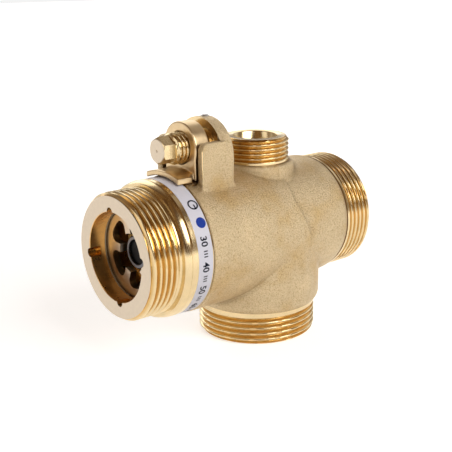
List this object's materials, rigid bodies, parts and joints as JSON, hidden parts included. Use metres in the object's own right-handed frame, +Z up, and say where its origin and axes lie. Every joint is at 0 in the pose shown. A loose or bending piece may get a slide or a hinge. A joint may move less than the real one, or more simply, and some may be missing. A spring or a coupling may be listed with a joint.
{
  "type": "thermostatic mixing valve",
  "caption": "Cast brass mixing valve with male threaded hot, cold and mixed ports, a smaller top port, and a hexagon screw that slides a carrier along the barrel to set the temperature.",
  "frame": {"origin": "centre of the cold inlet port's end face", "axes": "+Z up, away from the cold inlet's mouth; +X along the barrel, towards the hot inlet; the mixed outlet is at -X"},
  "size_m": [0.1116, 0.0528, 0.091],
  "materials": {
    "cast_brass": "sand cast and machined",
    "turned_brass": "machined, bright",
    "carrier_brass": "machined and tumbled",
    "label": "matt printed film",
    "steel": "drawn and turned",
    "spring_steel": "drawn wire",
    "rubber": "moulded",
    "black_plastic": "moulded",
    "valve_plastic": "moulded",
    "copper_alloy": "drawn and pressed"
  },
  "bodies": {
    "valve": {"valve_body": "cast_brass", "outlet_sleeve": "turned_brass", "outlet_spider": "turned_brass", "spider_snap_ring": "spring_steel", "label_band": "label", "body_gasket": "rubber", "screw_retaining_pin": "steel", "cold_seat_ring": "valve_plastic", "cold_seat_o_ring": "rubber", "seat_circlip": "spring_steel", "hot_seat_cage": "valve_plastic", "cage_o_ring": "rubber", "return_spring": "spring_steel"},
    "screw": {"adjusting_screw": "turned_brass"},
    "setting": {"adjusting_carrier": "carrier_brass", "setting_sleeve": "turned_brass", "outer_sleeve_o_ring": "rubber", "inner_sleeve_o_ring": "rubber", "barrel_cap": "black_plastic", "cap_ring": "steel", "overtravel_spring": "spring_steel"},
    "element": {"overtravel_plunger": "turned_brass", "wax_capsule": "copper_alloy"},
    "shuttle_group": {"shuttle": "valve_plastic", "shuttle_o_ring": "rubber", "capsule_pin": "steel"}
  },
  "joints": [
    {"name": "screw_turn", "type": "hinge", "parent": "valve", "child": "screw", "pos_m": [-0.04, 0, 0.0798], "axis": [1, 0, 0], "range_deg": [-450, 450]},
    {"name": "setting_slide", "type": "slide", "parent": "valve", "child": "setting", "axis": [-1, 0, 0], "range_m": [-0.00219, 0.00219]},
    {"name": "element_overtravel", "type": "slide", "parent": "setting", "child": "element", "axis": [-1, 0, 0], "range_m": [0, 0.002], "stiffness_N_per_m": 8000, "springref_m": -0.004, "deforming": ["overtravel_spring"]},
    {"name": "shuttle_travel", "type": "slide", "parent": "valve", "child": "shuttle_group", "axis": [1, 0, 0], "range_m": [-0.0014, 0.0011], "stiffness_N_per_m": 3000, "deforming": ["return_spring"]}
  ],
  "couplings": [
    {"joint": "screw_turn", "follows": "setting_slide", "rad_per_m": 3590.4}
  ]
}
